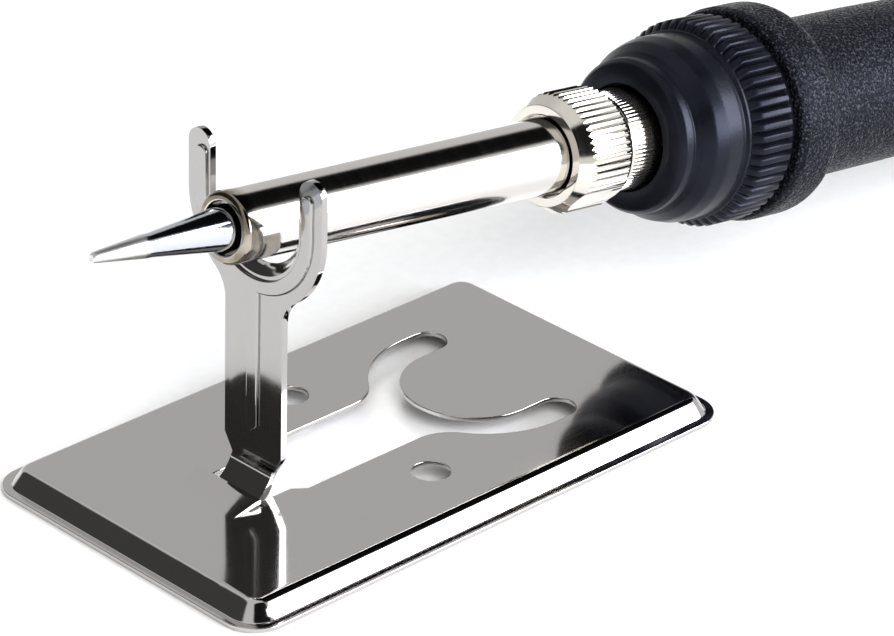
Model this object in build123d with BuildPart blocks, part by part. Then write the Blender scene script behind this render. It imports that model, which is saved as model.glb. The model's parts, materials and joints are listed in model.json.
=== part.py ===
"""Soldering iron laid in the fork of a folded sheet-steel bench stand.

Millimetres, +Z up, +X along the stand from the tip end to the handle end.  The origin is on the
bench, under the middle of the whole assembly.  The stand is laid out along X; everything on the
iron is laid out along its own sloping axis, by the distance from the end of the tip.
"""
from build123d import *
from math import cos, pi, radians, sin, sqrt
import os

os.makedirs("parts", exist_ok=True)

# ---------------------------------------------------------------- stand: driving dimensions
PLATE_LENGTH = 90.0
PLATE_WIDTH = 53.6
PLATE_HEIGHT = 3.2          # top of the pressed tray above the bench
SHEET = 0.7                 # tray sheet thickness
FLANGE = 1.2                # flat rim round the foot of the tray
SLOPE_RUN = 1.8             # how far the sloping side leans in
OUTER_CORNER = 5.2
RIM_ROUND = 1.5             # rolled edge between the tray's top and its sloping side

STEM_SLOT = 12.9            # width of the long slot
NECK_SLOT = 10.0            # width of the slot beside the strap
NECK_SLOT_END = 26.6        # where the narrow slot begins to widen
STEM_SLOT_START = 28.4
PRONG_OUTER = 15.6          # half width over the two curved arms of the cut-out
TONGUE_RADIUS = 10.2        # round tongue between those arms
TONGUE_X = 65.7
OUTER_ARC_X = 67.1
PRONG_END_X = 72.3
FLARE_RADIUS = 6.75         # inside corner between the long slot and the curved arms
HOLE_RADIUS = 2.7
HOLE_X = 44.0
HOLE_SPACING = 28.4

STRAP_X0 = 15.2             # bridge pressed up out of the tray, over the foot of the fork
STRAP_CROWN_X = 19.4
STRAP_X1 = 20.4
STRAP_LENGTH = 12.0
STRAP_RISE = 1.0
STRAP_SLIT = 0.25           # sheared slits at both ends of the bridge

# ---------------------------------------------------------------- fork: driving dimensions
FORK_X = 24.2               # front face, from the tip end of the plate
FORK_SHEET = 1.0
FOOT_X = 12.6               # far end of the flat foot, which lies against the tray's underside
FOOT_TOP = PLATE_HEIGHT - SHEET
STEM_HALF = 5.6
NECK_HALF = 4.0
SHOULDER_Z = (6.0, 8.6)
CRADLE_Z = 43.3             # centre of the round cradle
CRADLE_INNER = 8.65
CRADLE_OUTER = 12.95
TIP_Z = 51.8
BEAD_FOOT = 10.8            # lower end of the bead pressed into the arm
BEAD_HALF = 1.15
BEAD_INNER = 9.15
BEAD_OUTER = 11.3
BEAD_TOP = 48.6
BEAD_RISE = 0.4
LIP_RISE = 1.4              # the cradle's rim is turned back and in by this much
LIP_BACK = 1.55
LIP_ANGLE = 150

# ---------------------------------------------------------------- iron: driving dimensions
TILT = 8.17                 # slope of the iron, handle end low
TIP_END_X = -3.65           # end of the tip, from the tip end of the plate
TIP_END_Z = 46.2
TUBE_START, TUBE_END = 22.4, 86.0
TUBE_R0, TUBE_R1 = 4.98, 5.45
NUT_START, NUT_END = 82.4, 92.4
NUT_RADIUS = 8.6
THREAD_RADIUS = 7.0         # plain running surfaces stand for the thread
THREAD_GAP = 0.06
THREAD_PITCH = 1.0
FERRULE_RING = (93.2, 100.2)
FERRULE_RING_RADIUS = 7.35
FERRULE_GROOVES = 72
FERRULE_FLANGE = (106.4, 107.8)   # clamped between the front cap and the handle
FLANGE_RADIUS = 10.8
SCREW_CIRCLE = 8.8
SCREW_COUNT = 3
CAP_START, CAP_END = 98.8, 119.8
HANDLE_START, HANDLE_END = 108.6, 236.0
SPIGOT_RADIUS = 11.4
GUARD = (120.0, 130.6)      # raised guard ring of the handle
GUARD_RADIUS = 15.7
GRIP_RADIUS = 11.85
WAIST_RADIUS = 11.2
HANDLE_BORE = 9.0
REAR_END = 245.2            # the rear cap's lower corner rests on the bench
REAR_RADIUS = 11.8
REAR_ROUND = 2.6
CORD_BORE = 2.9
SET_SCREW_S = 231.0         # small screw that holds the rear cap
SET_SCREW_RADIUS = 1.25
BOARD_V = -4.0              # underside of the terminal board, below the iron's axis
BOARD_SHEET = 1.6
BOARD = (150.0, 186.0)
BOARD_WIDTH = 14.0
BOSS_X = (154.0, 182.0)

REACH = REAR_END * cos(radians(TILT)) + REAR_RADIUS * sin(radians(TILT))
PLATE_X = -(2 * TIP_END_X + REACH) / 2   # tip end of the plate, from the origin
# ---------------------------------------------------------------- frames and small helpers
TIP_POINT = Vector(PLATE_X + TIP_END_X, 0, TIP_END_Z)
ALONG = Vector(cos(radians(TILT)), 0, -sin(radians(TILT)))
UP = Vector(sin(radians(TILT)), 0, cos(radians(TILT)))
IRON_AXIS = Axis(TIP_POINT, ALONG)
IRON_SIDE = Plane(origin=TIP_POINT, x_dir=ALONG, z_dir=(0, -1, 0))   # sketch x = s, y = radius
IRON_TOP = Plane(origin=TIP_POINT, x_dir=ALONG, z_dir=UP)            # sketch x = s, y = across


def station(s, v=0.0, across=0.0):
    """Plane square to the iron at distance s from the tip end, v above its axis."""
    return Plane(origin=TIP_POINT + ALONG * s + UP * v + Vector(0, across, 0), x_dir=(0, 1, 0), z_dir=ALONG)


def level(s, v):
    """Plane parallel to the iron's axis, facing up, at distance s and height v."""
    return Plane(origin=TIP_POINT + ALONG * s + UP * v, x_dir=ALONG, z_dir=UP)


def save(builder, name):
    builder.part.label = name
    export_step(builder.part, f"parts/{name}.step")


def turned(points):
    """Solid of revolution about the iron's axis from a closed outline of (s, radius) points."""
    with BuildPart() as piece:
        with BuildSketch(IRON_SIDE):
            with BuildLine():
                Polyline(*points, close=True)
            make_face()
        revolve(axis=IRON_AXIS)
    return piece.part


# ---------------------------------------------------------------- base_plate
def tray_outline(inset):
    RectangleRounded(PLATE_LENGTH - 2 * inset, PLATE_WIDTH - 2 * inset, OUTER_CORNER - inset)


mid_x = PLATE_X + PLATE_LENGTH / 2
slope = SLOPE_RUN / (PLATE_HEIGHT - SHEET)   # level run of the side for each mm of rise
hollow_step = SHEET * (sqrt(1 + slope ** 2) - slope)   # keeps the sloping wall one sheet thick

with BuildPart() as base_plate:
    with BuildSketch(Plane.XY):
        with Locations((mid_x, 0)):
            tray_outline(0)
    extrude(amount=SHEET)
    with BuildSketch(Plane.XY.offset(SHEET)):
        with Locations((mid_x, 0)):
            tray_outline(FLANGE)
    with BuildSketch(Plane.XY.offset(PLATE_HEIGHT)):
        with Locations((mid_x, 0)):
            tray_outline(FLANGE + SLOPE_RUN)
    loft()
    top_rim = base_plate.faces().sort_by(Axis.Z)[-1].edges()
    fillet(top_rim, radius=RIM_ROUND)
    with BuildSketch(Plane.XY):
        with Locations((mid_x, 0)):
            tray_outline(FLANGE + hollow_step)
    with BuildSketch(Plane.XY.offset(PLATE_HEIGHT - SHEET)):
        with Locations((mid_x, 0)):
            tray_outline(FLANGE + SLOPE_RUN + hollow_step)
    loft(mode=Mode.SUBTRACT)

    # bridge over the foot of the fork: a long ramp up to a short crown, open towards the slot
    crown_z = PLATE_HEIGHT + STRAP_RISE
    with BuildSketch(Plane.XZ.offset(-STRAP_LENGTH / 2)):
        with BuildLine():
            Polyline((PLATE_X + STRAP_X0, PLATE_HEIGHT - SHEET),
                     (PLATE_X + STRAP_X0, PLATE_HEIGHT),
                     (PLATE_X + STRAP_CROWN_X, crown_z),
                     (PLATE_X + STRAP_X1, crown_z),
                     (PLATE_X + STRAP_X1, PLATE_HEIGHT - SHEET), close=True)
        make_face()
    extrude(amount=STRAP_LENGTH)
    with BuildSketch(Plane.XZ.offset(-STRAP_LENGTH / 2 - STRAP_SLIT)):
        with BuildLine():
            Polyline((PLATE_X + STRAP_X0 + 0.1, PLATE_HEIGHT - SHEET - 0.5),
                     (PLATE_X + STRAP_X0 + 0.1, PLATE_HEIGHT - SHEET),
                     (PLATE_X + STRAP_CROWN_X + 0.1, crown_z - SHEET),
                     (PLATE_X + STRAP_X1 + 0.5, crown_z - SHEET),
                     (PLATE_X + STRAP_X1 + 0.5, PLATE_HEIGHT - SHEET - 0.5), close=True)
        make_face()
    extrude(amount=STRAP_LENGTH + 2 * STRAP_SLIT, mode=Mode.SUBTRACT)

    # fork-shaped cut-out
    fillet_x = OUTER_ARC_X - sqrt((PRONG_OUTER + FLARE_RADIUS) ** 2 - (STEM_SLOT / 2 + FLARE_RADIUS) ** 2)
    arc_centre = Vector(OUTER_ARC_X, 0)
    flare_centre = Vector(fillet_x, STEM_SLOT / 2 + FLARE_RADIUS)
    arc_start = (flare_centre - arc_centre).normalized()
    join = arc_centre + arc_start * PRONG_OUTER
    flare_mid = flare_centre + (Vector(0, -1) + (join - flare_centre).normalized()).normalized() * FLARE_RADIUS
    arc_mid = arc_centre + (arc_start + Vector(0, 1)).normalized() * PRONG_OUTER
    prong_half = (PRONG_OUTER - TONGUE_RADIUS) / 2
    prong_mid = (PRONG_OUTER + TONGUE_RADIUS) / 2
    tip_x = PRONG_END_X - prong_half
    with BuildSketch(Plane.XY.offset(-1)):
        with Locations((PLATE_X, 0)):
            with BuildSketch(mode=Mode.PRIVATE) as half:
                with BuildLine():
                    Polyline((STRAP_X1 - 0.4, 0), (STRAP_X1 - 0.4, NECK_SLOT / 2),
                             (NECK_SLOT_END, NECK_SLOT / 2))
                    Line((NECK_SLOT_END, NECK_SLOT / 2), (STEM_SLOT_START, STEM_SLOT / 2))
                    Line((STEM_SLOT_START, STEM_SLOT / 2), (fillet_x, STEM_SLOT / 2))
                    ThreePointArc((fillet_x, STEM_SLOT / 2), flare_mid, join)
                    ThreePointArc(join, arc_mid, (OUTER_ARC_X, PRONG_OUTER))
                    Line((OUTER_ARC_X, PRONG_OUTER), (tip_x, PRONG_OUTER))
                    ThreePointArc((tip_x, PRONG_OUTER), (PRONG_END_X, prong_mid), (tip_x, TONGUE_RADIUS))
                    Line((tip_x, TONGUE_RADIUS), (TONGUE_X, TONGUE_RADIUS))
                    ThreePointArc((TONGUE_X, TONGUE_RADIUS),
                                  (TONGUE_X - TONGUE_RADIUS * sin(pi / 4), TONGUE_RADIUS * sin(pi / 4)),
                                  (TONGUE_X - TONGUE_RADIUS, 0))
                    Line((TONGUE_X - TONGUE_RADIUS, 0), (STRAP_X1 - 0.4, 0))
                make_face()
            add(half.sketch)
            add(mirror(half.sketch, about=Plane.XZ, mode=Mode.PRIVATE))
    extrude(amount=PLATE_HEIGHT + 1.15, mode=Mode.SUBTRACT)
    with BuildSketch(Plane.XY.offset(-1)):
        with Locations((PLATE_X + HOLE_X, -HOLE_SPACING / 2), (PLATE_X + HOLE_X, HOLE_SPACING / 2)):
            Circle(HOLE_RADIUS)
    extrude(amount=PLATE_HEIGHT + 2, mode=Mode.SUBTRACT)
save(base_plate, "base_plate")

# ---------------------------------------------------------------- fork_arm
cradle = (0, CRADLE_Z)
FORK_FLARE = 5.0            # inside corner between the stem and the cradle
flare_y = STEM_HALF + FORK_FLARE
flare_z = CRADLE_Z - sqrt((CRADLE_OUTER + FORK_FLARE) ** 2 - flare_y ** 2)
to_cradle = (Vector(0, CRADLE_Z) - Vector(flare_y, flare_z)).normalized()
flare_end = Vector(flare_y, flare_z) + to_cradle * FORK_FLARE
flare_bow = Vector(flare_y, flare_z) + (to_cradle + Vector(-1, 0)).normalized() * FORK_FLARE
cradle_side = (flare_end - Vector(0, CRADLE_Z)).normalized()
cradle_bow = Vector(0, CRADLE_Z) + (cradle_side + Vector(1, 0)).normalized() * CRADLE_OUTER
bead_turn_z = CRADLE_Z - sqrt(BEAD_OUTER ** 2 - BEAD_HALF ** 2)
prong_w = (CRADLE_OUTER - CRADLE_INNER) / 2
prong_c = (CRADLE_OUTER + CRADLE_INNER) / 2
fork_face = Plane(origin=(PLATE_X + FORK_X, 0, 0), x_dir=(0, 1, 0), z_dir=(1, 0, 0))

with BuildPart() as fork_arm:
    with BuildSketch(fork_face):
        with BuildSketch(mode=Mode.PRIVATE) as half_fork:
            with BuildLine():
                Polyline((0, SHOULDER_Z[0]), (NECK_HALF, SHOULDER_Z[0]), (STEM_HALF, SHOULDER_Z[1]),
                         (STEM_HALF, flare_z))
                ThreePointArc((STEM_HALF, flare_z), flare_bow, flare_end)
                ThreePointArc(flare_end, cradle_bow, (CRADLE_OUTER, CRADLE_Z))
                Line((CRADLE_OUTER, CRADLE_Z), (CRADLE_OUTER, TIP_Z - prong_w))
                ThreePointArc((CRADLE_OUTER, TIP_Z - prong_w), (prong_c, TIP_Z),
                              (CRADLE_INNER, TIP_Z - prong_w))
                Line((CRADLE_INNER, TIP_Z - prong_w), (CRADLE_INNER, CRADLE_Z))
                ThreePointArc((CRADLE_INNER, CRADLE_Z),
                              (CRADLE_INNER * sin(pi / 4), CRADLE_Z - CRADLE_INNER * sin(pi / 4)),
                              (0, CRADLE_Z - CRADLE_INNER))
                Line((0, CRADLE_Z - CRADLE_INNER), (0, SHOULDER_Z[0]))
            make_face()
        add(half_fork.sketch)
        add(mirror(half_fork.sketch, about=Plane.YZ, mode=Mode.PRIVATE))
    extrude(amount=FORK_SHEET)

    # pressed bead: up the middle of the stem, then round the cradle beside its inner edge
    with BuildSketch(fork_face):
        with BuildSketch(mode=Mode.PRIVATE) as half_bead:
            with BuildLine():
                Polyline((0, BEAD_FOOT), (BEAD_HALF, BEAD_FOOT + BEAD_HALF), (BEAD_HALF, bead_turn_z))
                ThreePointArc((BEAD_HALF, bead_turn_z),
                              (BEAD_OUTER * sin(radians(50)), CRADLE_Z - BEAD_OUTER * cos(radians(50))),
                              (BEAD_OUTER, CRADLE_Z))
                Line((BEAD_OUTER, CRADLE_Z), (BEAD_OUTER, BEAD_TOP))
                ThreePointArc((BEAD_OUTER, BEAD_TOP), ((BEAD_OUTER + BEAD_INNER) / 2,
                                                       BEAD_TOP + (BEAD_OUTER - BEAD_INNER) / 2),
                              (BEAD_INNER, BEAD_TOP))
                Line((BEAD_INNER, BEAD_TOP), (BEAD_INNER, CRADLE_Z))
                ThreePointArc((BEAD_INNER, CRADLE_Z),
                              (BEAD_INNER * sin(pi / 4), CRADLE_Z - BEAD_INNER * cos(pi / 4)),
                              (0, CRADLE_Z - BEAD_INNER))
                Line((0, CRADLE_Z - BEAD_INNER), (0, BEAD_FOOT))
            make_face()
        add(half_bead.sketch)
        add(mirror(half_bead.sketch, about=Plane.YZ, mode=Mode.PRIVATE))
    extrude(amount=-BEAD_RISE)
    bead_edges = fork_arm.faces().sort_by(Axis.X)[0].edges()
    fillet(bead_edges, radius=BEAD_RISE * 0.8)

    # rim of the cradle, turned back and in: a ring of slanting section, only round the bottom
    rim_axis = Axis((PLATE_X + FORK_X, 0, CRADLE_Z), (1, 0, 0))
    with BuildSketch(Plane.XZ):
        with BuildLine():
            Polyline((PLATE_X + FORK_X, CRADLE_Z - CRADLE_INNER - 0.2),
                     (PLATE_X + FORK_X, CRADLE_Z - CRADLE_INNER),
                     (PLATE_X + FORK_X + LIP_BACK, CRADLE_Z - CRADLE_INNER + LIP_RISE),
                     (PLATE_X + FORK_X + LIP_BACK + 0.7, CRADLE_Z - CRADLE_INNER + LIP_RISE - 0.6),
                     (PLATE_X + FORK_X + FORK_SHEET, CRADLE_Z - CRADLE_INNER - 0.2), close=True)
        make_face()
    revolve(axis=rim_axis, revolution_arc=LIP_ANGLE / 2)
    mirror(about=Plane.XZ)

    # neck: the sheet bends forward, dives under the bridge and ends in a flat foot
    neck_front = [(FORK_X, SHOULDER_Z[0] + 0.2), (FORK_X - 0.7, 4.8), (FORK_X - 1.6, 3.6),
                  (STRAP_X1 + 0.9, FOOT_TOP), (FOOT_X, FOOT_TOP)]
    neck_back = [(FOOT_X, FOOT_TOP - FORK_SHEET), (STRAP_X1 + 1.3, FOOT_TOP - FORK_SHEET),
                 (FORK_X - 0.7, 3.0), (FORK_X + 0.25, 4.5),
                 (FORK_X + FORK_SHEET, SHOULDER_Z[0] + 0.2)]
    with BuildSketch(Plane.XZ.offset(-NECK_HALF)):
        with BuildLine():
            Polyline(*[(PLATE_X + x, z) for x, z in neck_front + neck_back], close=True)
        make_face()
    extrude(amount=2 * NECK_HALF)
save(fork_arm, "fork_arm")

# ---------------------------------------------------------------- soldering_tip
with BuildPart() as soldering_tip:
    add(turned([(0, 0), (0, 0.55), (0.5, 0.72), (9.2, 1.66), (22.0, 3.0), (23.4, 3.12), (26.55, 3.15),
                (26.55, 4.25), (29.0, 4.25), (29.6, 3.9), (50.0, 3.9), (50.0, 2.2), (31.0, 2.2),
                (29.4, 0)]))
save(soldering_tip, "soldering_tip")

# ---------------------------------------------------------------- heater
HEATER_R = 1.9
with BuildPart() as heater_element:
    with BuildSketch(station(32.0)):
        Circle(HEATER_R)
    extrude(amount=86.0)
    fillet(heater_element.faces().filter_by(GeomType.PLANE).edges(), radius=0.5)
save(heater_element, "heater_element")

# ---------------------------------------------------------------- barrel_tube
with BuildPart() as barrel_tube:
    add(turned([(TUBE_START, 4.55), (TUBE_START + 0.5, TUBE_R0 - 0.12), (TUBE_START + 1.3, TUBE_R0),
                (NUT_START + 1.85, TUBE_R1), (NUT_START + 1.85, 6.6), (TUBE_END - 0.4, 6.6),
                (TUBE_END - 0.4, 4.85), (26.5, 4.45), (26.5, 3.6), (25.2, 3.6), (24.4, 4.3),
                (TUBE_START, 4.3)]))
save(barrel_tube, "barrel_tube")

# ---------------------------------------------------------------- threaded_ferrule
with BuildPart() as threaded_ferrule:
    add(turned([(TUBE_END - 0.3, 4.6), (TUBE_END - 0.3, THREAD_RADIUS), (NUT_END + 0.3, THREAD_RADIUS),
                (NUT_END + 0.3, 6.5), (FERRULE_RING[0], 6.5), (FERRULE_RING[0], FERRULE_RING_RADIUS),
                (FERRULE_RING[1], FERRULE_RING_RADIUS), (FERRULE_RING[1], 6.5), (FERRULE_FLANGE[0], 6.5),
                (FERRULE_FLANGE[0], FLANGE_RADIUS), (FERRULE_FLANGE[1], FLANGE_RADIUS),
                (FERRULE_FLANGE[1], 4.6)]))
    with BuildSketch(station(FERRULE_RING[0] - 0.1)):
        with PolarLocations(FERRULE_RING_RADIUS + 0.05, FERRULE_GROOVES):
            RegularPolygon(0.28, 4)
    extrude(amount=FERRULE_RING[1] - FERRULE_RING[0] + 0.2, mode=Mode.SUBTRACT)
    with BuildSketch(station(FERRULE_FLANGE[0] - 0.1)):
        with PolarLocations(SCREW_CIRCLE, SCREW_COUNT):
            Circle(1.1)
    extrude(amount=1.6, mode=Mode.SUBTRACT)
save(threaded_ferrule, "threaded_ferrule")

# ---------------------------------------------------------------- retaining_nut
KNURL_COUNT = 54
FLAT_REACH = 7.9            # axis to each spanner flat
FLAT_ANGLE = 40             # the two flats' turn about the axis at rest
with BuildPart() as retaining_nut:
    add(turned([(NUT_START, TUBE_R1 + 0.25), (NUT_START, 7.3), (NUT_START + 2.2, NUT_RADIUS),
                (NUT_END - 1.1, NUT_RADIUS), (NUT_END, 7.9), (NUT_END, THREAD_RADIUS + THREAD_GAP),
                (NUT_START + 1.8, THREAD_RADIUS + THREAD_GAP), (NUT_START + 1.8, TUBE_R1 + 0.25)]))
    with BuildSketch(station(NUT_START + 3.0)):
        with PolarLocations(NUT_RADIUS + 0.05, KNURL_COUNT):
            RegularPolygon(0.42, 4)
    extrude(amount=NUT_END - NUT_START - 3.0, mode=Mode.SUBTRACT)
    with BuildSketch(station(NUT_START + 1.0)):
        with PolarLocations(FLAT_REACH + 1.5, 2, start_angle=FLAT_ANGLE):
            Rectangle(3.0, 9.0)
    extrude(amount=NUT_END - NUT_START, mode=Mode.SUBTRACT)
save(retaining_nut, "retaining_nut")

# ---------------------------------------------------------------- heater_collar, spring, washer
with BuildPart() as heater_collar:
    add(turned([(95.0, HEATER_R + 0.03), (95.0, 4.4), (99.0, 4.4), (99.0, 3.2), (101.5, 3.2),
                (101.5, HEATER_R + 0.03)]))
save(heater_collar, "heater_collar")

SPRING_WIRE = 0.3
SPRING_RADIUS = 3.4
SPRING = (102.0, 106.0)
with BuildPart() as grounding_spring:
    spring_plane = station(SPRING[0])
    with BuildLine():
        coil = Helix(pitch=1.0, height=SPRING[1] - SPRING[0], radius=SPRING_RADIUS,
                     center=spring_plane.origin, direction=ALONG)
    with BuildSketch(Plane(origin=coil @ 0, z_dir=coil % 0)):
        Circle(SPRING_WIRE)
    sweep(is_frenet=True)
save(grounding_spring, "grounding_spring")

WASHER = (FERRULE_FLANGE[1] + 0.05, HANDLE_START - 0.05)
with BuildPart() as insulator_washer:
    add(turned([(WASHER[0], 4.6), (WASHER[0], FLANGE_RADIUS), (WASHER[1], FLANGE_RADIUS), (WASHER[1], 4.6)]))
    with BuildSketch(station(WASHER[0] - 0.1)):
        with PolarLocations(SCREW_CIRCLE, SCREW_COUNT):
            Circle(1.1)
    extrude(amount=1.0, mode=Mode.SUBTRACT)
save(insulator_washer, "insulator_washer")

SCREW_HEAD = FERRULE_FLANGE[0] - 1.2
with BuildPart() as ferrule_screws:
    with BuildSketch(station(SCREW_HEAD)):
        with PolarLocations(SCREW_CIRCLE, SCREW_COUNT):
            Circle(1.8)
    extrude(amount=1.15)
    with BuildSketch(station(SCREW_HEAD + 1.15)):
        with PolarLocations(SCREW_CIRCLE, SCREW_COUNT):
            Circle(0.95)
    extrude(amount=6.4)
    with BuildSketch(station(SCREW_HEAD - 0.05)):
        with PolarLocations(SCREW_CIRCLE, SCREW_COUNT):
            Rectangle(0.5, 3.8)
    extrude(amount=0.6, mode=Mode.SUBTRACT)
save(ferrule_screws, "ferrule_screws")

# ---------------------------------------------------------------- front_cap
RIB_COUNT = 54
RIB_RADIUS = 15.0
RIBS = (111.2, 118.6)
LIP_END = 102.0
CAP_BORE = 11.5
with BuildPart() as front_cap:
    add(turned([(CAP_START, 7.9), (CAP_START + 0.3, 9.6), (CAP_START + 0.8, 10.7), (CAP_START + 1.4, 11.15),
                (LIP_END, 11.2), (LIP_END + 0.8, 11.4), (104.4, 12.9), (105.8, 13.45), (109.2, 13.5),
                (RIBS[0] - 0.3, 14.3), (RIBS[0] + 0.3, RIB_RADIUS), (RIBS[1], RIB_RADIUS),
                (RIBS[1] + 0.2, 14.3), (CAP_END, 14.3), (CAP_END, CAP_BORE), (104.9, CAP_BORE),
                (104.9, 6.7), (101.0, 6.7), (101.0, 7.65), (CAP_START, 7.65)]))
    with BuildSketch(station(RIBS[0] - 0.4)):
        with PolarLocations(RIB_RADIUS + 0.35, RIB_COUNT):
            Circle(0.62)
    extrude(amount=RIBS[1] - RIBS[0] + 0.5, mode=Mode.SUBTRACT)
save(front_cap, "front_cap")

# ---------------------------------------------------------------- handle_shell
REAR_PLUG = (226.0, HANDLE_END)
with BuildPart() as handle_shell:
    add(turned([(HANDLE_START, 4.6), (HANDLE_START, SPIGOT_RADIUS), (GUARD[0], SPIGOT_RADIUS),
                (GUARD[0], GUARD_RADIUS - 0.8), (GUARD[0] + 0.8, GUARD_RADIUS),
                (GUARD[1] - 1.6, GUARD_RADIUS), (GUARD[1] - 0.5, GUARD_RADIUS - 0.6),
                (GUARD[1], GUARD_RADIUS - 1.8), (GUARD[1], GRIP_RADIUS + 0.5),
                (GUARD[1] + 0.8, GRIP_RADIUS), (150.0, GRIP_RADIUS - 0.1), (185.0, WAIST_RADIUS),
                (215.0, WAIST_RADIUS + 0.3), (HANDLE_END, REAR_RADIUS), (HANDLE_END, HANDLE_BORE),
                (113.5, HANDLE_BORE), (113.5, 4.6)]))
    with BuildSketch(station(HANDLE_START - 0.1)):
        with PolarLocations(SCREW_CIRCLE, SCREW_COUNT):
            Circle(0.98)
    extrude(amount=6.4, mode=Mode.SUBTRACT)
    # two bosses carry the terminal board
    with BuildSketch(level(0, -WAIST_RADIUS + 1.2)):
        with Locations(*[(x, 0) for x in BOSS_X]):
            Circle(2.4)
    extrude(amount=WAIST_RADIUS - 1.2 + BOARD_V - 0.02)
    with BuildSketch(level(0, -WAIST_RADIUS + 2.4)):
        with Locations(*[(x, 0) for x in BOSS_X]):
            Circle(1.0)
    extrude(amount=WAIST_RADIUS, mode=Mode.SUBTRACT)
    with BuildSketch(level(SET_SCREW_S, 6.0)):
        Circle(SET_SCREW_RADIUS + 0.05)
    extrude(amount=8.0, mode=Mode.SUBTRACT)
save(handle_shell, "handle_shell")

# ---------------------------------------------------------------- terminal board and wiring
board_mid = sum(BOARD) / 2
board_long = BOARD[1] - BOARD[0]
TAB_X = (158.0, 166.0, 174.0)
with BuildPart() as terminal_board:
    with BuildSketch(level(board_mid, BOARD_V)):
        RectangleRounded(board_long, BOARD_WIDTH, 1.2)
        with Locations(*[(x - board_mid, 0) for x in BOSS_X]):
            Circle(1.1, mode=Mode.SUBTRACT)
    extrude(amount=BOARD_SHEET)
save(terminal_board, "terminal_board")

board_top = BOARD_V + BOARD_SHEET
with BuildPart() as terminal_tabs:
    with BuildSketch(level(board_mid, board_top + 0.02)):
        with Locations(*[(x - board_mid, y) for x in TAB_X for y in (-4.4, 4.4)]):
            RectangleRounded(4.6, 2.2, 0.4)
    extrude(amount=0.4)
save(terminal_tabs, "terminal_tabs")

with BuildPart() as board_screws:
    with BuildSketch(level(board_mid, board_top + 0.02)):
        with Locations(*[(x - board_mid, 0) for x in BOSS_X]):
            Circle(1.9)
    extrude(amount=1.3)
    with BuildSketch(level(board_mid, board_top + 0.02)):
        with Locations(*[(x - board_mid, 0) for x in BOSS_X]):
            Circle(0.95)
    extrude(amount=-6.0)
    with BuildSketch(level(board_mid, board_top + 0.8)):
        with Locations(*[(x - board_mid, 0) for x in BOSS_X]):
            Rectangle(4.0, 0.5)
    extrude(amount=0.6, mode=Mode.SUBTRACT)
save(board_screws, "board_screws")


def wire(start, end, radius):
    """Straight insulated lead between two points given as (s, v, across)."""
    a = TIP_POINT + ALONG * start[0] + UP * start[1] + Vector(0, start[2], 0)
    b = TIP_POINT + ALONG * end[0] + UP * end[1] + Vector(0, end[2], 0)
    run = b - a
    with BuildPart() as piece:
        with BuildSketch(Plane(origin=a, z_dir=run)):
            Circle(radius)
        extrude(amount=run.length)
    return piece.part


lead_end_v = board_top + 1.0
with BuildPart() as heater_leads:
    for side in (-1, 1):
        add(wire((118.3, 0.9, side * 0.9), (TAB_X[0] + 1.5, lead_end_v, side * 4.4), 0.45))
save(heater_leads, "heater_leads")

with BuildPart() as sensor_leads:
    for side in (-1, 1):
        add(wire((118.3, -0.9, side * 0.9), (150.5, board_top + 0.6, side * 2.4), 0.35))
save(sensor_leads, "sensor_leads")

with BuildPart() as earth_lead:
    add(wire((107.9, 3.2, -2.6), (TAB_X[1] + 1.5, lead_end_v, -2.6), 0.45))
save(earth_lead, "earth_lead")

# ---------------------------------------------------------------- rear_cap, cap_screw, gland_bush
with BuildPart() as rear_cap:
    inner = REAR_RADIUS - REAR_ROUND
    with BuildSketch(IRON_SIDE):
        with BuildLine():
            Polyline((REAR_PLUG[0], 6.8), (REAR_PLUG[0], HANDLE_BORE - 0.05),
                     (HANDLE_END + 0.02, HANDLE_BORE - 0.05), (HANDLE_END + 0.02, REAR_RADIUS),
                     (REAR_END - REAR_ROUND, REAR_RADIUS))
            ThreePointArc((REAR_END - REAR_ROUND, REAR_RADIUS),
                          (REAR_END - REAR_ROUND * (1 - sin(pi / 4)), inner + REAR_ROUND * sin(pi / 4)),
                          (REAR_END, inner))
            Polyline((REAR_END, inner), (REAR_END, 5.0), (HANDLE_END + 2.0, 5.0),
                     (HANDLE_END + 2.0, 6.8), (REAR_PLUG[0], 6.8))
        make_face()
    revolve(axis=IRON_AXIS)
    with BuildSketch(level(SET_SCREW_S, 6.0)):
        Circle(SET_SCREW_RADIUS + 0.05)
    extrude(amount=4.0, mode=Mode.SUBTRACT)
save(rear_cap, "rear_cap")

with BuildPart() as gland_bush:
    add(turned([(REAR_END + 0.9, CORD_BORE), (REAR_END + 0.9, 5.4), (REAR_END + 0.4, 6.2),
                (REAR_END + 0.02, 6.2), (REAR_END + 0.02, 4.95), (HANDLE_END + 1.95, 4.95),
                (HANDLE_END + 1.95, 6.4), (HANDLE_END - 0.5, 6.4), (HANDLE_END - 0.5, CORD_BORE)]))
save(gland_bush, "gland_bush")

with BuildPart() as cap_screw:
    with BuildSketch(level(SET_SCREW_S, GRIP_RADIUS - 1.0)):
        Circle(SET_SCREW_RADIUS)
    extrude(amount=-4.2)
    with BuildSketch(level(SET_SCREW_S, GRIP_RADIUS - 1.0)):
        Rectangle(0.5, 4.0)
    extrude(amount=-0.6, mode=Mode.SUBTRACT)
save(cap_screw, "cap_screw")
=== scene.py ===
"""Looks of the soldering iron and its bench stand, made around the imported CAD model.

Metres, in the CAD's own frame.  What turns about the iron's axis is first modelled level, along
+X from the end of the tip, and then tilted into place.
"""

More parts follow.
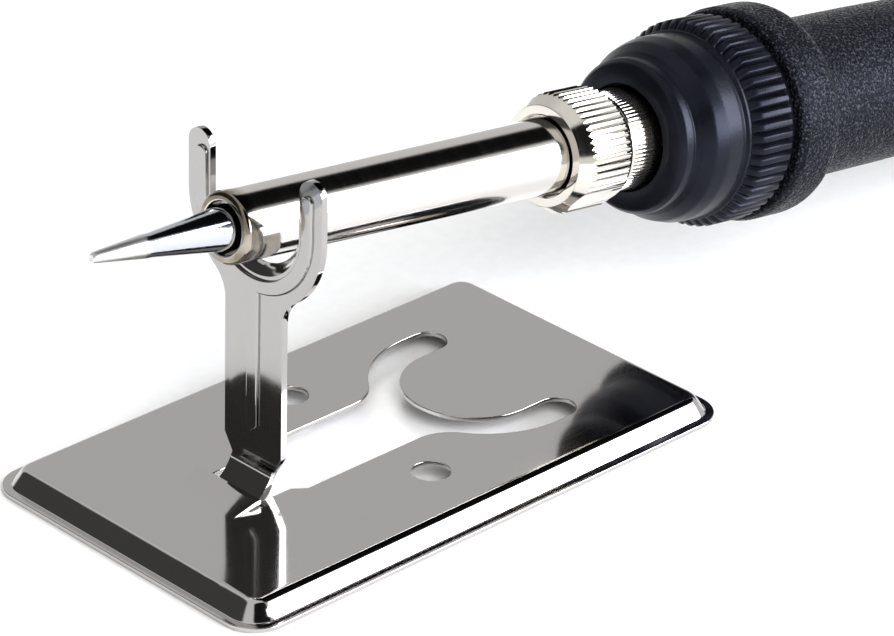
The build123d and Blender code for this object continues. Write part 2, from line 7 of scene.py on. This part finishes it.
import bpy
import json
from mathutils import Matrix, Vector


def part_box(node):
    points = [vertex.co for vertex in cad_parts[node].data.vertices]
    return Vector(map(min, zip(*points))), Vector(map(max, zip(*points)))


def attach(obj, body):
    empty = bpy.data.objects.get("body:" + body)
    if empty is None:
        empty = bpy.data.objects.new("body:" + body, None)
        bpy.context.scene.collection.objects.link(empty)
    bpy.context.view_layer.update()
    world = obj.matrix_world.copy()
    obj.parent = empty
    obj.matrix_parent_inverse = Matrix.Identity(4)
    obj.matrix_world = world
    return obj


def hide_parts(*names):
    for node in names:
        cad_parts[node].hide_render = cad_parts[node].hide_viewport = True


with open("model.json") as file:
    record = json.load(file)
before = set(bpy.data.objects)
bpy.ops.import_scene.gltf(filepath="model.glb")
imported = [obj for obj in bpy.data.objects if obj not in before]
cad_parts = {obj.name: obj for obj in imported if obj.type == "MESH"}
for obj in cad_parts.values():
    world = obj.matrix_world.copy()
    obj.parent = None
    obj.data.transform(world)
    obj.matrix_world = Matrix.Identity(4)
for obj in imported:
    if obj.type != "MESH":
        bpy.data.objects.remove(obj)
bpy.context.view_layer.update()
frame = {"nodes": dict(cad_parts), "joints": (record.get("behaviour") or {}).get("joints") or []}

import json
import math

import bpy
from mathutils import Matrix, Vector

MM = 0.001

# ---------------------------------------------------------------- places read from the frame
JOINTS = {joint["name"]: joint for joint in frame["joints"]}
SCREW_AXIS = -Vector(JOINTS["nut_turn"]["axis"])   # from the tip towards the handle
TILT = math.atan2(-SCREW_AXIS.z, SCREW_AXIS.x)
NUT_PIVOT_FROM_TIP = 88.0 * MM
TIP_END = Vector(JOINTS["nut_turn"]["pos_m"]) - SCREW_AXIS * NUT_PIVOT_FROM_TIP
PLATE_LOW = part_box("base_plate")[0]
FLAT_TURN = math.radians(40)     # the nut's two spanner flats, turned about the iron's axis
FLAT_REACH = 7.9                 # axis to each flat, mm
EDGE_RADIUS = 3.95               # the sleeve's mouth is wiped clean inside this radius, mm
NUT_FLUTES = 54
FERRULE_TEETH = 72
CAP_RIBS = 54
FLUTE_STEPS = 12                 # mesh points round the circle for each flute, tooth or rib
STATION_REACH = 0.02             # a ring of points is found within this distance of its station, mm


# ---------------------------------------------------------------- colours and node helpers
def srgb(code):
    """Linear colour from a hex code such as '8a8d90'."""
    def channel(pair):
        v = int(pair, 16) / 255
        return v / 12.92 if v <= 0.04045 else ((v + 0.055) / 1.055) ** 2.4
    return tuple(channel(code[i:i + 2]) for i in (0, 2, 4)) + (1.0,)


def add_node(tree, kind, settings=None, inputs=None, links=None):
    """Adds one node: its settings, its socket values, and links given as socket: (node, output)."""
    node = tree.nodes.new(kind)
    for name, value in (settings or {}).items():
        setattr(node, name, value)
    for name, value in (inputs or {}).items():
        node.inputs[name].default_value = value
    for name, (source, output) in (links or {}).items():
        tree.links.new(source.outputs[output], node.inputs[name])
    return node


def new_finish(name, base, metallic, roughness, **sockets):
    """A material with a Principled shader set to uniform starting values."""
    finish = bpy.data.materials.new(name)
    finish.use_nodes = True
    tree = finish.node_tree
    shader = tree.nodes["Principled BSDF"]
    shader.inputs["Base Color"].default_value = srgb(base)
    shader.inputs["Metallic"].default_value = metallic
    shader.inputs["Roughness"].default_value = roughness
    for socket, value in sockets.items():
        shader.inputs[socket.replace("_", " ")].default_value = value
    return finish, tree, shader


def noise(tree, where, per_mm, detail):
    """Noise whose features are about 1 / per_mm millimetres across."""
    return add_node(tree, "ShaderNodeTexNoise", inputs={"Scale": per_mm / MM, "Detail": detail},
                    links={"Vector": where})


def ramp(tree, source, stops, output="Fac"):
    """Colour ramp through (position, hex) stops."""
    node = add_node(tree, "ShaderNodeValToRGB", links={"Fac": (source, output)})
    bands = node.color_ramp.elements
    while len(bands) < len(stops):
        bands.new(0.5)
    for band, (place, code) in zip(bands, stops):
        band.position = place
        band.color = srgb(code)
    return node


def spread(tree, source, output, low, high, to_low, to_high):
    """Map Range from low..high to to_low..to_high."""
    return add_node(tree, "ShaderNodeMapRange",
                    inputs={"From Min": low, "From Max": high, "To Min": to_low, "To Max": to_high},
                    links={"Value": (source, output)})


def bump(tree, shader, source, output, depth_mm, strength):
    """Relief of the given depth, laid on the shader's normal."""
    node = add_node(tree, "ShaderNodeBump", inputs={"Strength": strength, "Distance": depth_mm * MM},
                    links={"Height": (source, output)})
    tree.links.new(node.outputs["Normal"], shader.inputs["Normal"])
    return node


def along_iron(tree):
    """Object coordinates turned level with the iron: X is the distance from the tip end, in metres."""
    place = add_node(tree, "ShaderNodeTexCoord")
    shift = add_node(tree, "ShaderNodeVectorMath", {"operation": "SUBTRACT"}, links={0: (place, "Object")})
    shift.inputs[1].default_value = TIP_END
    return add_node(tree, "ShaderNodeVectorRotate", {"rotation_type": "Y_AXIS"},
                    {"Angle": -TILT}, {"Vector": (shift, "Vector")})


# ---------------------------------------------------------------- finishes
def polished_stainless(name, base="b9b7b4"):
    """Stainless sheet, pressed and then buffed: a mirror that wavers slightly and carries fine hazy
    polishing marks along its length."""
    finish, tree, shader = new_finish(name, base, 1.0, 0.06)
    place = add_node(tree, "ShaderNodeTexCoord")
    long_marks = add_node(tree, "ShaderNodeMapping", inputs={"Scale": (0.04, 1.0, 1.0)},
                          links={"Vector": (place, "Object")})
    marks = noise(tree, (long_marks, "Vector"), 6.0, 3.0)
    haze = noise(tree, (place, "Object"), 0.06, 3.0)
    rough = spread(tree, marks, "Fac", 0.35, 0.75, 0.045, 0.10)
    mixed = add_node(tree, "ShaderNodeMath", {"operation": "MULTIPLY_ADD"},
                     links={0: (haze, "Fac"), 2: (rough, "Result")})
    mixed.inputs[1].default_value = 0.03
    tree.links.new(mixed.outputs[0], shader.inputs["Roughness"])
    waver = noise(tree, (place, "Object"), 0.045, 1.0)
    bump(tree, shader, waver, "Fac", 0.05, 0.35)
    return finish


def bright_nickel(name, base="d8d2ca", tint=None):
    """Nickel plate over turned brass: a warm, nearly clean mirror with faint lathe rings.

    tint gives the two distances from the tip end, in mm, between which the browned mouth clears."""
    finish, tree, shader = new_finish(name, base, 1.0, 0.09)
    level = along_iron(tree)
    rings = add_node(tree, "ShaderNodeMapping", inputs={"Scale": (1.0, 0.02, 0.02)},
                     links={"Vector": (level, "Vector")})
    lathe = noise(tree, (rings, "Vector"), 5.0, 2.0)
    rough = spread(tree, lathe, "Fac", 0.3, 0.7, 0.07, 0.14)
    tree.links.new(rough.outputs[0], shader.inputs["Roughness"])
    bump(tree, shader, lathe, "Fac", 0.004, 0.25)
    if tint:
        split = add_node(tree, "ShaderNodeSeparateXYZ", links={"Vector": (level, "Vector")})
        edge = noise(tree, (level, "Vector"), 0.25, 4.0)
        ragged = add_node(tree, "ShaderNodeMath", {"operation": "MULTIPLY_ADD"},
                          links={0: (edge, "Fac"), 2: (split, "X")})
        ragged.inputs[1].default_value = 5.0 * MM
        heat = spread(tree, ragged, 0, tint[0] * MM, tint[1] * MM, 0.0, 1.0)
        across = add_node(tree, "ShaderNodeVectorMath", {"operation": "MULTIPLY"}, {1: (0.0, 1.0, 1.0)},
                          {0: (level, "Vector")})
        radius = add_node(tree, "ShaderNodeVectorMath", {"operation": "LENGTH"},
                          links={0: (across, "Vector")})
        clean = spread(tree, radius, "Value", EDGE_RADIUS * MM, (EDGE_RADIUS - 0.12) * MM, 0.0, 1.0)
        either = add_node(tree, "ShaderNodeMath", {"operation": "MAXIMUM"},
                          links={0: (heat, "Result"), 1: (clean, "Result")})
        bands = ramp(tree, either, [(0.0, "5e574c"), (0.2, "857c6e"), (0.5, "b9b1a5"), (1.0, base)], 0)
        tree.links.new(bands.outputs["Color"], shader.inputs["Base Color"])
    return finish


def plated_tip():
    """Iron and chrome plate over copper: a cool bright cone, matt and silvery where solder has wetted
    the working end."""
    finish, tree, shader = new_finish("chromed_tip", "c9ccd2", 1.0, 0.10)
    level = along_iron(tree)
    split = add_node(tree, "ShaderNodeSeparateXYZ", links={"Vector": (level, "Vector")})
    edge = noise(tree, (level, "Vector"), 0.8, 3.0)
    ragged = add_node(tree, "ShaderNodeMath", {"operation": "MULTIPLY_ADD"},
                      links={0: (edge, "Fac"), 2: (split, "X")})
    ragged.inputs[1].default_value = 1.2 * MM
    wet = spread(tree, ragged, 0, 8.9 * MM, 9.6 * MM, 0.0, 1.0)
    tone = ramp(tree, wet, [(0.0, "e4e3de"), (1.0, "ced1d8")], "Result")
    rough = spread(tree, wet, "Result", 0.0, 1.0, 0.36, 0.09)
    tree.links.new(tone.outputs["Color"], shader.inputs["Base Color"])
    tree.links.new(rough.outputs[0], shader.inputs["Roughness"])
    lumps = noise(tree, (level, "Vector"), 1.6, 3.0)
    bump(tree, shader, lumps, "Fac", 0.05, 0.25)
    return finish


def satin_phenolic():
    """Black phenolic moulding straight from a polished mould: satin, almost smooth, faintly blue."""
    finish, tree, shader = new_finish("satin_black_phenolic", "0d0e13", 0.0, 0.36,
                                      Specular_IOR_Level=0.2, Specular_Tint=srgb("d8deff"))
    place = add_node(tree, "ShaderNodeTexCoord")
    cloud = noise(tree, (place, "Object"), 0.25, 4.0)
    tone = ramp(tree, cloud, [(0.3, "0a0b0f"), (0.7, "111218")])
    rough = spread(tree, cloud, "Fac", 0.3, 0.7, 0.27, 0.36)
    tree.links.new(tone.outputs["Color"], shader.inputs["Base Color"])
    tree.links.new(rough.outputs[0], shader.inputs["Roughness"])
    pores = noise(tree, (place, "Object"), 2.4, 1.5)
    bump(tree, shader, pores, "Fac", 0.03, 0.6)
    return finish


def spark_textured_nylon():
    """Black glass-filled nylon from a spark-eroded mould: an even grain of fine glinting pits, drawn
    about 0.5 mm across, a little coarser than the real one, so that it shows.  The light specks in
    its base colour are painted glints on top of that grain."""
    finish, tree, shader = new_finish("spark_textured_black_nylon_painted_glints", "0b0c11", 0.0, 0.36,
                                      Specular_IOR_Level=0.09, Specular_Tint=srgb("d8deff"))
    place = add_node(tree, "ShaderNodeTexCoord")
    grain = noise(tree, (place, "Object"), 2.0, 1.5)
    grain_peaks_and_painted_glints = noise(tree, (place, "Object"), 2.9, 1.0)
    # painted glints: the ramp turns the noise peaks into light specks in the base colour, over the nylon's
    # own dark, randomly varying tone
    tone = ramp(tree, grain_peaks_and_painted_glints, [(0.45, "07080b"), (0.57, "111216"), (0.66, "34363c")])
    rough = spread(tree, grain_peaks_and_painted_glints, "Fac", 0.38, 0.62, 0.58, 0.26)
    tree.links.new(tone.outputs["Color"], shader.inputs["Base Color"])
    tree.links.new(rough.outputs[0], shader.inputs["Roughness"])
    bump(tree, shader, grain, "Fac", 0.22, 1.0)
    return finish


def plain_finish(name, base, metallic, roughness, speckle_per_mm=1.0, depth_mm=0.02):
    """Small hidden pieces: one colour, slightly mottled, with a faint surface grain."""
    finish, tree, shader = new_finish(name, base, metallic, roughness)
    place = add_node(tree, "ShaderNodeTexCoord")
    mottle = noise(tree, (place, "Object"), speckle_per_mm, 3.0)
    rough = spread(tree, mottle, "Fac", 0.3, 0.7, roughness * 0.85, min(1.0, roughness * 1.2))
    tree.links.new(rough.outputs[0], shader.inputs["Roughness"])
    bump(tree, shader, mottle, "Fac", depth_mm, 0.3)
    return finish


# ---------------------------------------------------------------- modelling helpers
def only(piece):
    """Makes the piece the only selected one, and the active one."""
    bpy.ops.object.select_all(action="DESELECT")
    piece.select_set(True)
    bpy.context.view_layer.objects.active = piece


def rounded(outline, steps=5):
    """(s, r) or (s, r, corner radius) points in mm: corners with a radius become arcs."""
    path = []
    count = len(outline)
    for i, point in enumerate(outline):
        here = Vector(point[:2])
        if len(point) < 3 or not point[2]:
            path.append(here)
            continue
        back = (Vector(outline[i - 1][:2]) - here).normalized()
        on = (Vector(outline[(i + 1) % count][:2]) - here).normalized()
        half = back.angle(on) / 2
        reach = point[2] / math.tan(half)
        centre = here + (back + on).normalized() * point[2] / math.sin(half)
        first, last = here + back * reach, here + on * reach
        start = math.atan2(first.y - centre.y, first.x - centre.x)
        turn = math.atan2(last.y - centre.y, last.x - centre.x) - start
        turn = (turn + math.pi) % (2 * math.pi) - math.pi
        for k in range(steps + 1):
            a = start + turn * k / steps
            path.append(centre + Vector((math.cos(a), math.sin(a))) * point[2])
    return path


def turn_up(name, outline, sides=144, steps=5, closed=True):
    """Turned piece: rings are extruded and resized along the level axis, from an (s, r) outline in mm."""
    path = rounded(outline, steps)
    bpy.ops.object.select_all(action="DESELECT")
    first = path[0]
    bpy.ops.mesh.primitive_circle_add(vertices=sides, radius=first.y * MM, location=(0, 0, 0))
    piece = bpy.context.object
    piece.name = name
    piece.rotation_euler = (0, math.pi / 2, 0)
    piece.location = (first.x * MM, 0, 0)
    bpy.ops.object.transform_apply(location=True, rotation=True, scale=True)
    bpy.ops.object.mode_set(mode="EDIT")
    bpy.ops.mesh.select_all(action="SELECT")
    stations = path[1:] + ([path[0]] if closed else [])
    last = first
    for point in stations:
        step = (point.x - last.x) * MM
        bpy.ops.mesh.extrude_region_move(TRANSFORM_OT_translate={"value": (step, 0, 0)})
        factor = point.y / last.y
        bpy.ops.transform.resize(value=(1, factor, factor), center_override=(point.x * MM, 0, 0))
        last = point
    bpy.ops.mesh.select_all(action="SELECT")
    bpy.ops.mesh.remove_doubles(threshold=1e-6)
    bpy.ops.mesh.normals_make_consistent(inside=False)
    bpy.ops.object.mode_set(mode="OBJECT")
    return piece


def flute(piece, rings, count, profile, core_mm, runout=0.0):
    """Presses count flutes into a level turned piece.

    rings holds (station, share of the full depth) in mm, and profile gives the depth in mm for a
    place from 0 to 1 between two crests.  With a runout, the first ring's points also move towards
    the tip end by runout for each mm of depth, so the flutes fade into the cone in points."""
    points = piece.data.vertices
    shares = dict(rings)
    only(piece)
    for step in range(FLUTE_STEPS):
        depth = profile(step / FLUTE_STEPS)
        if depth <= 0:
            continue
        for station, share in shares.items():
            chosen = 0
            for point in points:
                radius = math.hypot(point.co.y, point.co.z) / MM
                turn = math.atan2(point.co.z, point.co.y) / (2 * math.pi) * count
                at_step = round((turn % 1.0) * FLUTE_STEPS) % FLUTE_STEPS == step
                at_ring = abs(point.co.x / MM - station) < STATION_REACH
                point.select = at_step and radius > core_mm and at_ring
                chosen = radius if point.select else chosen
            factor = (chosen - depth * share) / chosen
            back = -depth * share * runout * MM if station == rings[0][0] else 0.0
            for part in (piece.data.edges, piece.data.polygons):
                part.foreach_set("select", [False] * len(part))
            bpy.ops.object.mode_set(mode="EDIT")
            bpy.ops.transform.resize(value=(1, factor, factor), center_override=(0, 0, 0))
            bpy.ops.transform.translate(value=(back, 0, 0))
            bpy.ops.object.mode_set(mode="OBJECT")


def hollow_flute(depth_mm):
    """Wide round-bottomed flutes that leave thin crests between them."""
    return lambda place: depth_mm * (1 - (2 * place - 1) ** 2)


def round_ribs(depth_mm):
    """Rounded ribs that stand apart, with narrow valleys between them."""
    return lambda place: depth_mm * max(0.0, 1 - 1.35 * math.sin(math.pi * place))


def smooth(piece, angle):
    """Smooth shading, with edges sharper than the angle in degrees left crisp."""
    only(piece)
    bpy.ops.object.shade_smooth_by_angle(angle=math.radians(angle))


def lay_on_axis(piece):
    """Tilts a level piece onto the iron's axis and leaves its place in its mesh."""
    piece.matrix_world = Matrix.Translation(TIP_END) @ Matrix.Rotation(TILT, 4, "Y")
    only(piece)
    bpy.ops.object.transform_apply(location=True, rotation=True, scale=True)


def fit_out(piece, finish, body, slot, *nodes):
    """Gives a finished piece its material and its body, and hides the CAD nodes it stands for; slot is not
    used.
    """
    piece.data.materials.clear()
    piece.data.materials.append(finish)
    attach(piece, body)
    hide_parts(*nodes)


def pressed_copy(node, name, edge_mm):
    """Copy of a sheet-metal CAD node, welded into whole flat faces, with its sheared edges broken."""
    piece = frame["nodes"][node].copy()
    piece.data = piece.data.copy()
    for key in list(piece.keys()):
        del piece[key]
    piece.name = name
    piece.parent = None
    bpy.context.scene.collection.objects.link(piece)
    only(piece)
    bpy.ops.object.mode_set(mode="EDIT")
    bpy.ops.mesh.select_all(action="SELECT")
    bpy.ops.mesh.remove_doubles(threshold=2e-6)
    bpy.ops.mesh.dissolve_limited(angle_limit=math.radians(0.4))
    bpy.ops.object.mode_set(mode="OBJECT")
    smooth(piece, 40)
    edges = piece.modifiers.new("broken_edges", "BEVEL")
    edges.width = edge_mm * MM
    edges.segments = 2
    edges.limit_method = "ANGLE"
    edges.angle_limit = math.radians(40)
    weigh = piece.modifiers.new("even_normals", "WEIGHTED_NORMAL")
    weigh.weight = 60
    for modifier in (edges, weigh):
        bpy.ops.object.modifier_apply(modifier=modifier.name)
    return piece


# ---------------------------------------------------------------- stand
def make_tray():
    """Pressed tray with the fork's outline cut out of it."""
    tray = pressed_copy("base_plate", "tray", 0.12)
    fit_out(tray, polished_stainless("polished_tray_steel", "c6c3c1"), "stand", "polished_steel",
            "base_plate")


def make_fork():
    """Upright arm whose fork carries the sleeve."""
    fork = pressed_copy("fork_arm", "rest_fork", 0.14)
    fit_out(fork, polished_stainless("polished_fork_steel", "b2b0ae"), "stand", "fork_steel", "fork_arm")


# ---------------------------------------------------------------- hot end
def make_tip():
    """Conical tip with a hollow shank that slides over the heater."""
    tip = turn_up("cone_tip", [(0.06, 0.02), (0.0, 0.5, 0.1), (0.5, 0.74), (9.2, 1.66), (9.35, 1.62),
                               (22.0, 3.0, 4.0), (26.5, 3.12), (26.55, 4.25), (29.0, 4.25), (29.6, 3.9),
                               (50.0, 3.9), (50.0, 2.2), (31.0, 2.2), (30.0, 0.02)], sides=96, closed=False)
    lay_on_axis(tip)
    smooth(tip, 40)
    fit_out(tip, plated_tip(), "barrel", "tip_plate", "soldering_tip")


def make_sleeve():
    """Plated tube with a rolled mouth; its flange at the far end is held by the ring nut."""
    sleeve = turn_up("heater_sleeve", [
        (22.4, 3.75, 0.18), (22.4, 4.98, 0.78), (24.4, 4.99), (84.2, 5.44), (84.2, 6.55), (85.5, 6.55),
        (85.5, 4.87), (26.5, 4.47), (26.5, 3.62), (23.0, 3.62)], sides=160, steps=8)
    lay_on_axis(sleeve)
    smooth(sleeve, 40)
    fit_out(sleeve, bright_nickel("sleeve_nickel", "e3dfda", (23.6, 28.5)), "barrel", "sleeve_nickel",
            "barrel_tube")


def make_nut():
    """Ring nut: flat annulus, smooth cone, wide flutes, and two spanner flats."""
    nut = turn_up("ring_nut", [
        (82.62, 5.75), (82.4, 5.98), (82.4, 7.2, 0.1), (82.62, 7.3, 0.08), (84.9, 8.6), (91.5, 8.6),
        (92.4, 7.95), (92.4, 7.08), (84.25, 7.08), (84.25, 5.75)], sides=NUT_FLUTES * FLUTE_STEPS, steps=3)
    flute(nut, [(84.9, 1.0), (91.5, 1.0)], NUT_FLUTES, hollow_flute(0.4), 8.4, runout=1.77)
    for side in (0, math.pi):
        turn = FLAT_TURN + side
        outward = Vector((0, math.cos(turn), math.sin(turn)))
        only(nut)
        bpy.ops.object.mode_set(mode="EDIT")
        bpy.ops.mesh.select_all(action="SELECT")
        bpy.ops.mesh.bisect(plane_co=outward * FLAT_REACH * MM, plane_no=outward, use_fill=True,
                            clear_outer=True)
        bpy.ops.object.mode_set(mode="OBJECT")
    lay_on_axis(nut)
    smooth(nut, 24)
    fit_out(nut, bright_nickel("nut_nickel", "e4dfd6"), "nut", "nut_nickel", "retaining_nut")


def make_ferrule():
    """Threaded sleeve whose finely toothed ring shows between the nut and the front cap."""
    ferrule = turn_up("toothed_ferrule", [
        (85.7, 4.6), (85.7, 7.0), (92.7, 7.0), (92.7, 6.5), (93.2, 6.5), (93.2, 7.3, 0.1),
        (93.75, 7.35, 0.1), (93.85, 6.9), (94.05, 6.9), (94.35, 7.05), (100.0, 7.45), (100.2, 6.5),
        (106.4, 6.5), (106.4, 10.8), (107.8, 10.8), (107.8, 4.6)],
        sides=FERRULE_TEETH * FLUTE_STEPS, steps=2)
    flute(ferrule, [(94.35, 1.0), (100.0, 1.0)], FERRULE_TEETH, hollow_flute(0.45), 6.95, runout=0.3)
    lay_on_axis(ferrule)
    smooth(ferrule, 24)
    fit_out(ferrule, bright_nickel("ferrule_nickel", "e4dfd6"), "iron", "ferrule_nickel", "threaded_ferrule")


# ---------------------------------------------------------------- handle
def make_front_cap():
    """Screw cap: dished lip, barrel-shaped body and a band of raised finger ribs."""
    cap = turn_up("ribbed_front_cap", [
        (98.8, 7.7, 0.2), (98.95, 9.2), (99.45, 10.6, 1.0), (100.3, 11.2, 0.6), (101.6, 11.2, 0.5),
        (102.1, 10.9, 0.3), (102.9, 11.7, 0.6), (104.5, 12.9, 1.8), (106.6, 13.45, 3.0),
        (109.3, 13.45, 1.2), (110.1, 13.3, 0.3), (110.5, 13.75, 0.15), (110.9, 13.75, 0.15),
        (111.1, 13.6), (111.7, 14.45), (112.5, 15.0), (118.2, 15.0), (118.6, 14.5), (118.8, 14.0),
        (119.8, 14.0), (119.8, 11.55), (104.9, 11.55), (104.9, 6.75), (101.0, 6.75), (101.0, 7.7)],
        sides=CAP_RIBS * FLUTE_STEPS, steps=4)
    flute(cap, [(111.7, 0.85), (112.5, 1.0), (118.2, 1.0), (118.6, 0.5)], CAP_RIBS, round_ribs(0.95), 14.2)
    lay_on_axis(cap)
    smooth(cap, 50)
    fit_out(cap, satin_phenolic(), "iron", "cap_black", "front_cap")


def make_handle():
    """Grip with a rounded guard ring against heat and a slim waist for the fingers."""
    handle = turn_up("grip_handle", [
        (108.6, 4.6), (108.6, 11.35), (120.0, 11.35), (120.0, 15.2, 0.5), (121.2, 15.65, 1.0),
        (127.6, 15.65, 3.4), (130.3, 13.4, 1.4), (130.6, 12.2, 0.5), (131.6, 11.85, 0.8),
        (150.0, 11.75, 20.0), (185.0, 11.22, 60.0), (215.0, 11.5, 60.0), (236.0, 11.8), (236.0, 9.02),
        (113.5, 9.02), (113.5, 4.6)], sides=144, steps=6)
    lay_on_axis(handle)
    smooth(handle, 40)
    fit_out(handle, spark_textured_nylon(), "iron", "handle_black", "handle_shell")


def make_rear_end():
    """Rounded end cap of the handle and the rubber bush that the cord passes through."""
    cap = turn_up("rear_end_cap", [
        (226.0, 6.85), (226.0, 8.95), (236.05, 8.95), (236.05, 11.78, 0.25), (245.2, 11.78, 2.55),
        (245.2, 5.02, 0.3), (238.0, 5.02), (238.0, 6.85)], sides=144, steps=8)
    lay_on_axis(cap)
    smooth(cap, 40)
    fit_out(cap, bpy.data.materials["spark_textured_black_nylon_painted_glints"], "iron", "handle_black", "rear_cap")
    bush = turn_up("cord_bush", [
        (246.1, 2.92, 0.3), (246.1, 5.4, 0.3), (245.7, 6.18, 0.2), (245.22, 6.18), (245.22, 4.93),
        (237.95, 4.93), (237.95, 6.38), (235.5, 6.38), (235.5, 2.92)], sides=96, steps=5)
    lay_on_axis(bush)
    smooth(bush, 40)
    fit_out(bush, plain_finish("moulded_rubber", "1a1a1b", 0.0, 0.6, 2.0, 0.03), "iron", "rubber_black",
            "gland_bush")


# ---------------------------------------------------------------- CAD nodes that stay as they are
CARRIED = {
    "heater_element": ("fired_alumina", "e6e3da", 0.0, 0.55),
    "heater_collar": ("turned_steel", "9a9a98", 1.0, 0.3),
    "grounding_spring": ("spring_wire", "8a8a88", 1.0, 0.28),
    "insulator_washer": ("vulcanised_fibre", "6b3524", 0.0, 0.65),
    "ferrule_screws": ("zinc_plated_screws", "a9aaa8", 1.0, 0.3),
    "terminal_board": ("phenolic_paper_board", "8a5a30", 0.0, 0.5),
    "terminal_tabs": ("tinned_brass", "c9b27a", 1.0, 0.3),
    "board_screws": ("zinc_plated_board_screws", "a9aaa8", 1.0, 0.3),
    "heater_leads": ("red_silicone_lead", "a3231c", 0.0, 0.45),
    "sensor_leads": ("white_glass_sleeving", "dcdad2", 0.0, 0.7),
    "earth_lead": ("green_silicone_lead", "2f7a3a", 0.0, 0.45),
    "cap_screw": ("zinc_plated_cap_screw", "a9aaa8", 1.0, 0.3),
}


def dress_carried_nodes():
    """Gives the hidden CAD nodes their own materials; their meshes stay untouched."""
    for node, (name, base, metallic, roughness) in CARRIED.items():
        mesh = frame["nodes"][node].data
        finish = plain_finish(name, base, metallic, roughness)
        mesh.materials.clear()
        mesh.materials.append(finish)


# ---------------------------------------------------------------- floor, light and camera
def lay_floor():
    """White paper sweep, a hair under the stand."""
    bpy.ops.object.select_all(action="DESELECT")
    bpy.ops.mesh.primitive_plane_add(size=6.0, location=(0, 0, -0.00005))
    floor = bpy.context.object
    floor.name = "studio_floor"
    finish, tree, shader = new_finish("white_paper_sweep", "f4f4f3", 0.0, 0.9)
    place = add_node(tree, "ShaderNodeTexCoord")
    fibre = noise(tree, (place, "Object"), 0.5, 3.0)
    tone = ramp(tree, fibre, [(0.3, "f2f2f1"), (0.7, "f6f6f5")])
    tree.links.new(tone.outputs["Color"], shader.inputs["Base Color"])
    floor.data.materials.append(finish)


def card(tree, heading, rise, half_width, soft):
    """Share of the sky that a round studio card covers: 1 inside, fading over soft degrees."""
    flat = math.cos(math.radians(rise))
    aim = Vector((flat * math.cos(math.radians(heading)), flat * math.sin(math.radians(heading)),
                  math.sin(math.radians(rise))))
    place = add_node(tree, "ShaderNodeTexCoord")
    along = add_node(tree, "ShaderNodeVectorMath", {"operation": "DOT_PRODUCT"},
                     links={0: (place, "Generated")})
    along.inputs[1].default_value = aim
    edge = math.cos(math.radians(half_width + soft))
    full = math.cos(math.radians(half_width))
    return spread(tree, along, "Value", edge, full, 0.0, 1.0)


TENT_SHADE = "e6e6e6"
CARDS = [                       # heading, rise, half width, soft edge (degrees), shade, strength
    (45, 28, 26, 14, "d0d0d0", 1.0),      # pale grey card that the tray's top mirrors
    (135, 24, 34, 8, "4a4a4a", 1.0),      # dark card behind the tip end: the tray's end slope
    (-100, 40, 26, 6, "1c1c1c", 1.0),     # dark card on the near side: the ring nut's cone
    (-44, 6, 7, 8, "f2f5ff", 15.0),       # tall strip light on the handle side, in two panels
    (-41, 22, 7, 8, "f2f5ff", 15.0),
    (-70, 14, 10, 10, "f2f5ff", 14.0),     # softer light beside it: the shoulders of the black mouldings
    (8, 52, 24, 6, "0c0c0c", 1.0),        # two black cards overhead: the band along the sleeve
    (-28, 52, 14, 6, "0c0c0c", 1.0),
]


def hang_sky():
    """White tent with darker cards, which give polished metal its bands."""
    world = bpy.data.worlds.new("tent")
    bpy.context.scene.world = world
    world.use_nodes = True
    tree = world.node_tree
    sky = tree.nodes["Background"]
    last = add_node(tree, "ShaderNodeRGB")
    last.outputs[0].default_value = srgb(TENT_SHADE)
    socket = "Color"
    for heading, rise, half_width, soft, code, strength in CARDS:
        mask = card(tree, heading, rise, half_width, soft)
        mix = add_node(tree, "ShaderNodeMix", {"data_type": "RGBA", "clamp_factor": True})
        tree.links.new(mask.outputs[0], mix.inputs[0])
        tree.links.new(last.outputs[socket], mix.inputs[6])
        mix.inputs[7].default_value = [channel * strength for channel in srgb(code)]
        last, socket = mix, 2
    tree.links.new(last.outputs[socket], sky.inputs["Color"])


def hang_lights():
    """Two soft lamps that light the floor and the shadows, unseen in the polished metal."""
    for name, place, aim, size, watts in (
            ("key_softbox", (-0.35, -0.75, 0.75), (0.0, 0.0, 0.02), 0.7, 9.0),
            ("back_softbox", (0.55, 0.65, 0.75), (0.0, 0.0, 0.02), 0.6, 6.0)):
        lamp = bpy.data.lights.new(name, "AREA")
        lamp.shape = "DISK"
        lamp.size = size
        lamp.energy = watts
        holder = bpy.data.objects.new(name, lamp)
        holder.location = place
        holder.rotation_euler = (Vector(aim) - Vector(place)).to_track_quat("-Z", "Y").to_euler()
        holder.visible_glossy = False
        bpy.context.scene.collection.objects.link(holder)


CAMERA_LENS = 187.58                                # mm, on a 36 mm sensor
CAMERA_AHEAD = Vector((0.62493, 0.62569, -0.46688))
CAMERA_ROLL = math.radians(1.66)
CAMERA_AIM = Vector((PLATE_LOW.x + 53.97 * MM, -6.36 * MM, 20.0 * MM))
CAMERA_DISTANCE = 633.8                             # mm


def set_camera():
    """Looks down on the stand from its tip end, near side, with a long lens and a slight roll."""
    lens = bpy.data.cameras.new("view_camera")
    lens.sensor_width = 36.0
    lens.lens = CAMERA_LENS
    lens.clip_start = 0.05
    lens.clip_end = 20.0
    camera = bpy.data.objects.new("view_camera", lens)
    level_right = CAMERA_AHEAD.cross(Vector((0, 0, 1))).normalized()
    up = level_right.cross(CAMERA_AHEAD)
    right = level_right * math.cos(CAMERA_ROLL) + up * math.sin(CAMERA_ROLL)
    up = right.cross(CAMERA_AHEAD)
    turn = Matrix((right, up, -CAMERA_AHEAD)).transposed()
    place = CAMERA_AIM - CAMERA_AHEAD * CAMERA_DISTANCE * MM
    camera.matrix_world = Matrix.Translation(place) @ turn.to_4x4()
    bpy.context.scene.collection.objects.link(camera)
    bpy.context.scene.camera = camera


set_camera()
lay_floor()
hang_sky()
hang_lights()
make_tray()
make_fork()
make_tip()
make_sleeve()
make_nut()
make_ferrule()
make_front_cap()
make_handle()
make_rear_end()
dress_carried_nodes()
bpy.context.scene.view_settings.view_transform = "Standard"
